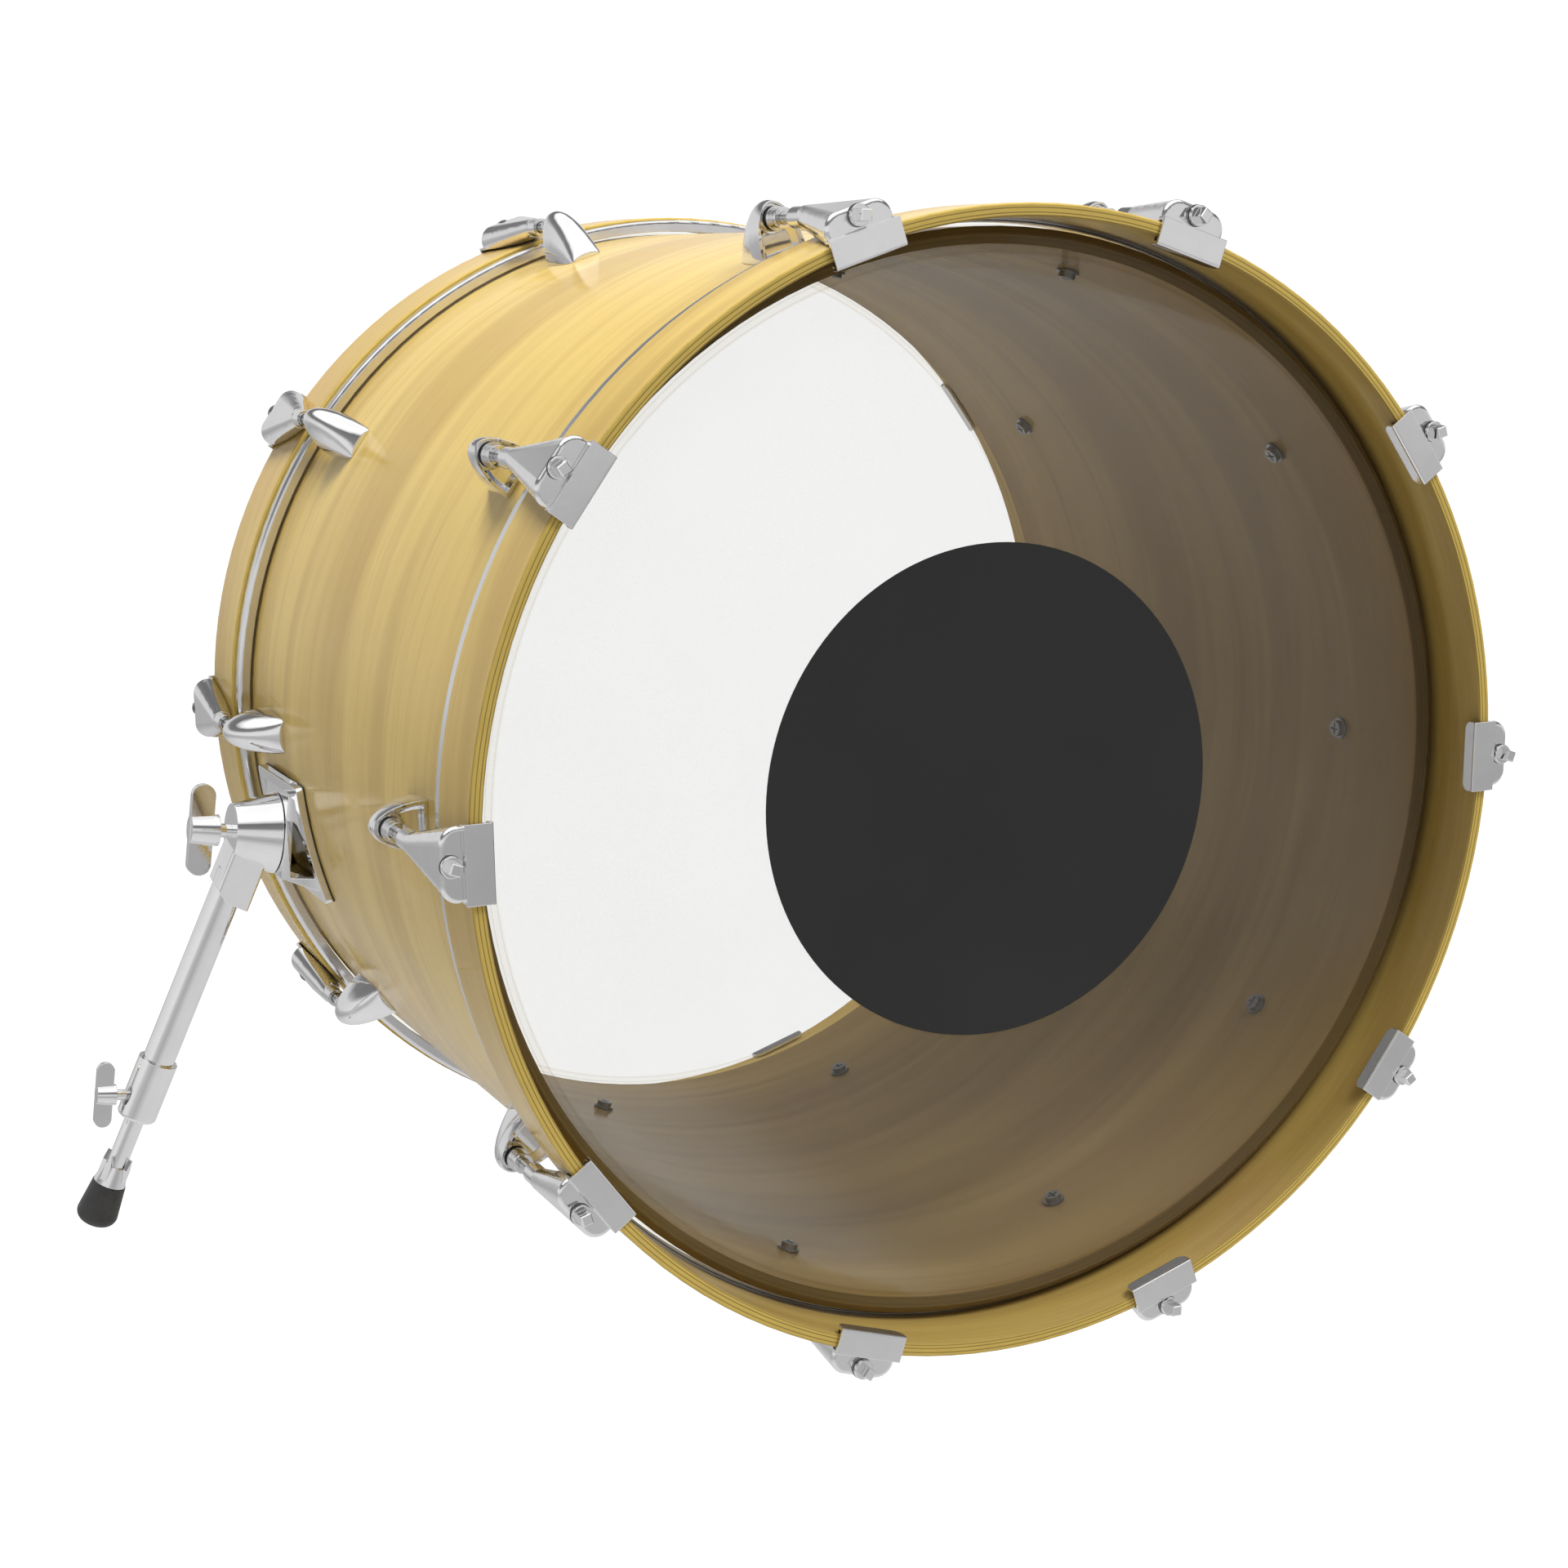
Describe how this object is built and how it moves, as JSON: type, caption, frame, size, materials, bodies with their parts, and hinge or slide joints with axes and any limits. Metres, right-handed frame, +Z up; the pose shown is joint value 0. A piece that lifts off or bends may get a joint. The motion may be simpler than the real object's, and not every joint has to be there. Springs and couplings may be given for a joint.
{
  "type": "bass drum",
  "caption": "Maple bass drum with wood hoops, claw-hook tensioning, clear heads, a black centre dot and two folding telescopic spurs.",
  "frame": {"origin": "on the floor, under the middle of the drum", "axes": "+Z up; the drum axis runs along Y and the batter head faces -Y; the spurs stand out along -X and +X, nearer the +Y end"},
  "size_m": [0.8158, 0.5072, 0.5848],
  "materials": {
    "shell_maple": "clear satin-gloss lacquer over maple veneer",
    "hoop_maple": "clear satin-gloss lacquer over maple plies",
    "clear_film": "clear polyester film, glossy",
    "dot_black": "satin black film bonded to the head",
    "hoop_aluminium": "bright rolled aluminium",
    "chrome_plate": "bright chrome plate",
    "plain_steel": "zinc-plated steel",
    "black_rubber": "matt black rubber",
    "black_nylon": "matt black nylon"
  },
  "bodies": {
    "drum": {"batter_claws": "chrome_plate", "batter_dot": "dot_black", "batter_flesh_hoop": "hoop_aluminium", "batter_head": "clear_film", "batter_hoop": "hoop_maple", "batter_lugs": "chrome_plate", "claw_pads": "black_rubber", "claw_sleeves": "chrome_plate", "left_spur_bracket": "chrome_plate", "lug_screws": "plain_steel", "resonant_claws": "chrome_plate", "resonant_flesh_hoop": "hoop_aluminium", "resonant_head": "clear_film", "resonant_hoop": "hoop_maple", "resonant_lugs": "chrome_plate", "right_spur_bracket": "chrome_plate", "rod_nylon_washers": "black_nylon", "rod_steel_washers": "plain_steel", "shell": "shell_maple", "spur_bracket_screws": "plain_steel", "spur_gaskets": "black_rubber", "spur_pivot_nuts": "plain_steel", "swivel_nut_rings": "black_rubber", "swivel_nuts": "chrome_plate"},
    "batter_rod_01": {"batter_rod_01": "chrome_plate"},
    "batter_rod_02": {"batter_rod_02": "chrome_plate"},
    "batter_rod_03": {"batter_rod_03": "chrome_plate"},
    "batter_rod_04": {"batter_rod_04": "chrome_plate"},
    "batter_rod_05": {"batter_rod_05": "chrome_plate"},
    "batter_rod_06": {"batter_rod_06": "chrome_plate"},
    "batter_rod_07": {"batter_rod_07": "chrome_plate"},
    "batter_rod_08": {"batter_rod_08": "chrome_plate"},
    "batter_rod_09": {"batter_rod_09": "chrome_plate"},
    "batter_rod_10": {"batter_rod_10": "chrome_plate"},
    "resonant_rod_01": {"resonant_rod_01": "chrome_plate"},
    "resonant_rod_02": {"resonant_rod_02": "chrome_plate"},
    "resonant_rod_03": {"resonant_rod_03": "chrome_plate"},
    "resonant_rod_04": {"resonant_rod_04": "chrome_plate"},
    "resonant_rod_05": {"resonant_rod_05": "chrome_plate"},
    "resonant_rod_06": {"resonant_rod_06": "chrome_plate"},
    "resonant_rod_07": {"resonant_rod_07": "chrome_plate"},
    "resonant_rod_08": {"resonant_rod_08": "chrome_plate"},
    "resonant_rod_09": {"resonant_rod_09": "chrome_plate"},
    "resonant_rod_10": {"resonant_rod_10": "chrome_plate"},
    "left_spur": {"left_spur_hub": "chrome_plate", "left_spur_leg_tube": "chrome_plate", "left_spur_clamp": "chrome_plate"},
    "left_wing_bolt": {"left_spur_wing_bolt": "chrome_plate"},
    "left_clamp_screw": {"left_spur_clamp_screw": "chrome_plate"},
    "left_inner_leg": {"left_spur_inner_leg": "chrome_plate", "left_spur_ferrule": "chrome_plate"},
    "left_foot": {"left_spur_foot": "black_rubber"},
    "right_spur": {"right_spur_hub": "chrome_plate", "right_spur_leg_tube": "chrome_plate", "right_spur_clamp": "chrome_plate"},
    "right_wing_bolt": {"right_spur_wing_bolt": "chrome_plate"},
    "right_clamp_screw": {"right_spur_clamp_screw": "chrome_plate"},
    "right_inner_leg": {"right_spur_inner_leg": "chrome_plate", "right_spur_ferrule": "chrome_plate"},
    "right_foot": {"right_spur_foot": "black_rubber"}
  },
  "joints": [
    {"name": "batter_rod_01_turn", "type": "hinge", "parent": "drum", "child": "batter_rod_01", "pos_m": [0.2981, -0.245, 0.2924], "axis": [0, 1, 0], "continuous": true},
    {"name": "batter_rod_02_turn", "type": "hinge", "parent": "drum", "child": "batter_rod_02", "pos_m": [0.24117, -0.245, 0.11718], "axis": [0, 1, 0], "continuous": true},
    {"name": "batter_rod_03_turn", "type": "hinge", "parent": "drum", "child": "batter_rod_03", "pos_m": [0.09212, -0.245, 0.00889], "axis": [0, 1, 0], "continuous": true},
    {"name": "batter_rod_04_turn", "type": "hinge", "parent": "drum", "child": "batter_rod_04", "pos_m": [-0.09212, -0.245, 0.00889], "axis": [0, 1, 0], "continuous": true},
    {"name": "batter_rod_05_turn", "type": "hinge", "parent": "drum", "child": "batter_rod_05", "pos_m": [-0.24117, -0.245, 0.11718], "axis": [0, 1, 0], "continuous": true},
    {"name": "batter_rod_06_turn", "type": "hinge", "parent": "drum", "child": "batter_rod_06", "pos_m": [-0.2981, -0.245, 0.2924], "axis": [0, 1, 0], "continuous": true},
    {"name": "batter_rod_07_turn", "type": "hinge", "parent": "drum", "child": "batter_rod_07", "pos_m": [-0.24117, -0.245, 0.46762], "axis": [0, 1, 0], "continuous": true},
    {"name": "batter_rod_08_turn", "type": "hinge", "parent": "drum", "child": "batter_rod_08", "pos_m": [-0.09212, -0.245, 0.57591], "axis": [0, 1, 0], "continuous": true},
    {"name": "batter_rod_09_turn", "type": "hinge", "parent": "drum", "child": "batter_rod_09", "pos_m": [0.09212, -0.245, 0.57591], "axis": [0, 1, 0], "continuous": true},
    {"name": "batter_rod_10_turn", "type": "hinge", "parent": "drum", "child": "batter_rod_10", "pos_m": [0.24117, -0.245, 0.46762], "axis": [0, 1, 0], "continuous": true},
    {"name": "resonant_rod_01_turn", "type": "hinge", "parent": "drum", "child": "resonant_rod_01", "pos_m": [0.2981, 0.245, 0.2924], "axis": [0, -1, 0], "continuous": true},
    {"name": "resonant_rod_02_turn", "type": "hinge", "parent": "drum", "child": "resonant_rod_02", "pos_m": [0.24117, 0.245, 0.46762], "axis": [0, -1, 0], "continuous": true},
    {"name": "resonant_rod_03_turn", "type": "hinge", "parent": "drum", "child": "resonant_rod_03", "pos_m": [0.09212, 0.245, 0.57591], "axis": [0, -1, 0], "continuous": true},
    {"name": "resonant_rod_04_turn", "type": "hinge", "parent": "drum", "child": "resonant_rod_04", "pos_m": [-0.09212, 0.245, 0.57591], "axis": [0, -1, 0], "continuous": true},
    {"name": "resonant_rod_05_turn", "type": "hinge", "parent": "drum", "child": "resonant_rod_05", "pos_m": [-0.24117, 0.245, 0.46762], "axis": [0, -1, 0], "continuous": true},
    {"name": "resonant_rod_06_turn", "type": "hinge", "parent": "drum", "child": "resonant_rod_06", "pos_m": [-0.2981, 0.245, 0.2924], "axis": [0, -1, 0], "continuous": true},
    {"name": "resonant_rod_07_turn", "type": "hinge", "parent": "drum", "child": "resonant_rod_07", "pos_m": [-0.24117, 0.245, 0.11718], "axis": [0, -1, 0], "continuous": true},
    {"name": "resonant_rod_08_turn", "type": "hinge", "parent": "drum", "child": "resonant_rod_08", "pos_m": [-0.09212, 0.245, 0.00889], "axis": [0, -1, 0], "continuous": true},
    {"name": "resonant_rod_09_turn", "type": "hinge", "parent": "drum", "child": "resonant_rod_09", "pos_m": [0.09212, 0.245, 0.00889], "axis": [0, -1, 0], "continuous": true},
    {"name": "resonant_rod_10_turn", "type": "hinge", "parent": "drum", "child": "resonant_rod_10", "pos_m": [0.24117, 0.245, 0.11718], "axis": [0, -1, 0], "continuous": true},
    {"name": "left_spur_swing", "type": "hinge", "parent": "drum", "child": "left_spur", "pos_m": [-0.287, 0.126, 0.236], "axis": [-0.9903, 0, 0.1392], "range_deg": [-15, 95]},
    {"name": "left_wing_bolt_turn", "type": "hinge", "parent": "drum", "child": "left_wing_bolt", "pos_m": [-0.287, 0.126, 0.236], "axis": [-0.9903, 0, 0.1392], "continuous": true},
    {"name": "left_clamp_screw_turn", "type": "hinge", "parent": "left_spur", "child": "left_clamp_screw", "pos_m": [-0.36615, 0.15132, 0.08117], "axis": [-0.9903, 0, 0.1392], "continuous": true},
    {"name": "left_leg_slide", "type": "slide", "parent": "left_spur", "child": "left_inner_leg", "axis": [-0.3803, 0.1537, -0.912], "range_m": [-0.022, 0.06]},
    {"name": "left_foot_turn", "type": "hinge", "parent": "left_inner_leg", "child": "left_foot", "pos_m": [-0.4, 0.165, 0], "axis": [-0.3803, 0.1537, -0.912], "continuous": true},
    {"name": "right_spur_swing", "type": "hinge", "parent": "drum", "child": "right_spur", "pos_m": [0.287, 0.126, 0.236], "axis": [-0.9903, 0, -0.1392], "range_deg": [-15, 95]},
    {"name": "right_wing_bolt_turn", "type": "hinge", "parent": "drum", "child": "right_wing_bolt", "pos_m": [0.287, 0.126, 0.236], "axis": [0.9903, 0, 0.1392], "continuous": true},
    {"name": "right_clamp_screw_turn", "type": "hinge", "parent": "right_spur", "child": "right_clamp_screw", "pos_m": [0.36615, 0.15132, 0.08117], "axis": [0.9903, 0, 0.1392], "continuous": true},
    {"name": "right_leg_slide", "type": "slide", "parent": "right_spur", "child": "right_inner_leg", "axis": [0.3803, 0.1537, -0.912], "range_m": [-0.022, 0.06]},
    {"name": "right_foot_turn", "type": "hinge", "parent": "right_inner_leg", "child": "right_foot", "pos_m": [0.4, 0.165, 0], "axis": [0.3803, 0.1537, -0.912], "continuous": true}
  ]
}
